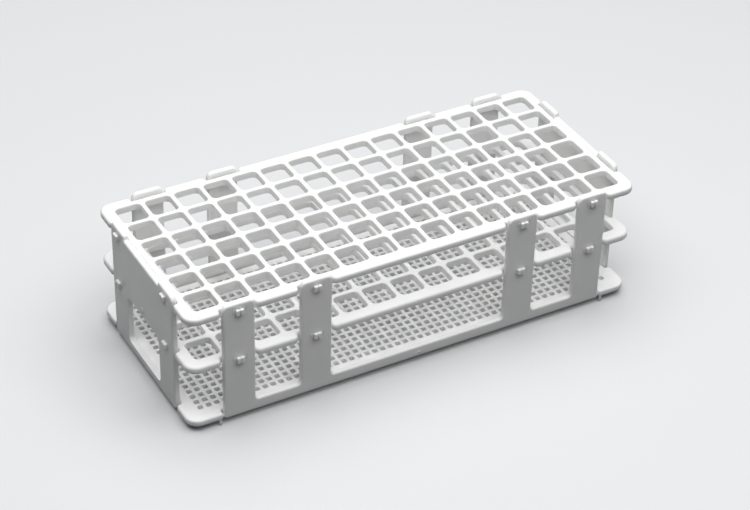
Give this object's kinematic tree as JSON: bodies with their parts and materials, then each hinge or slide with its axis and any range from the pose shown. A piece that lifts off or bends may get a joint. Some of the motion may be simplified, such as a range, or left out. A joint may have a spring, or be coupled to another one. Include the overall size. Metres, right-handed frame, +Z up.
{
  "type": "test tube rack",
  "caption": "Rectangular snap-together test tube rack: open grid shelves above a drain-mesh base, tied by windowed end panels and fold-down side panels.",
  "frame": {"origin": "centre of the rack's footprint at the level of the soles of its four feet", "axes": "+X along the rack towards the right end panel, -Y out of the front side panel, +Z up"},
  "size_m": [0.2506, 0.1096, 0.0689],
  "materials": {
    "polypropylene": "satin"
  },
  "bodies": {
    "rack": {"top_rim": "polypropylene", "top_long_ribs": "polypropylene", "top_cross_ribs": "polypropylene", "top_well_corners": "polypropylene", "top_pegs": "polypropylene", "middle_rim": "polypropylene", "middle_long_ribs": "polypropylene", "middle_cross_ribs": "polypropylene", "middle_well_corners": "polypropylene", "middle_pegs": "polypropylene", "base_rim": "polypropylene", "base_mesh": "polypropylene", "foot_front_left": "polypropylene", "foot_front_right": "polypropylene", "foot_rear_left": "polypropylene", "foot_rear_right": "polypropylene", "left_end_panel": "polypropylene", "right_end_panel": "polypropylene"},
    "front_side": {"front_side_panel": "polypropylene"},
    "rear_side": {"rear_side_panel": "polypropylene"}
  },
  "joints": [
    {"name": "front_side_fold", "type": "hinge", "parent": "rack", "child": "front_side", "pos_m": [0, -0.051, 0.0045], "axis": [1, 0, 0], "range_deg": [0, 90]},
    {"name": "rear_side_fold", "type": "hinge", "parent": "rack", "child": "rear_side", "pos_m": [0, 0.051, 0.0045], "axis": [-1, 0, 0], "range_deg": [0, 90]}
  ]
}
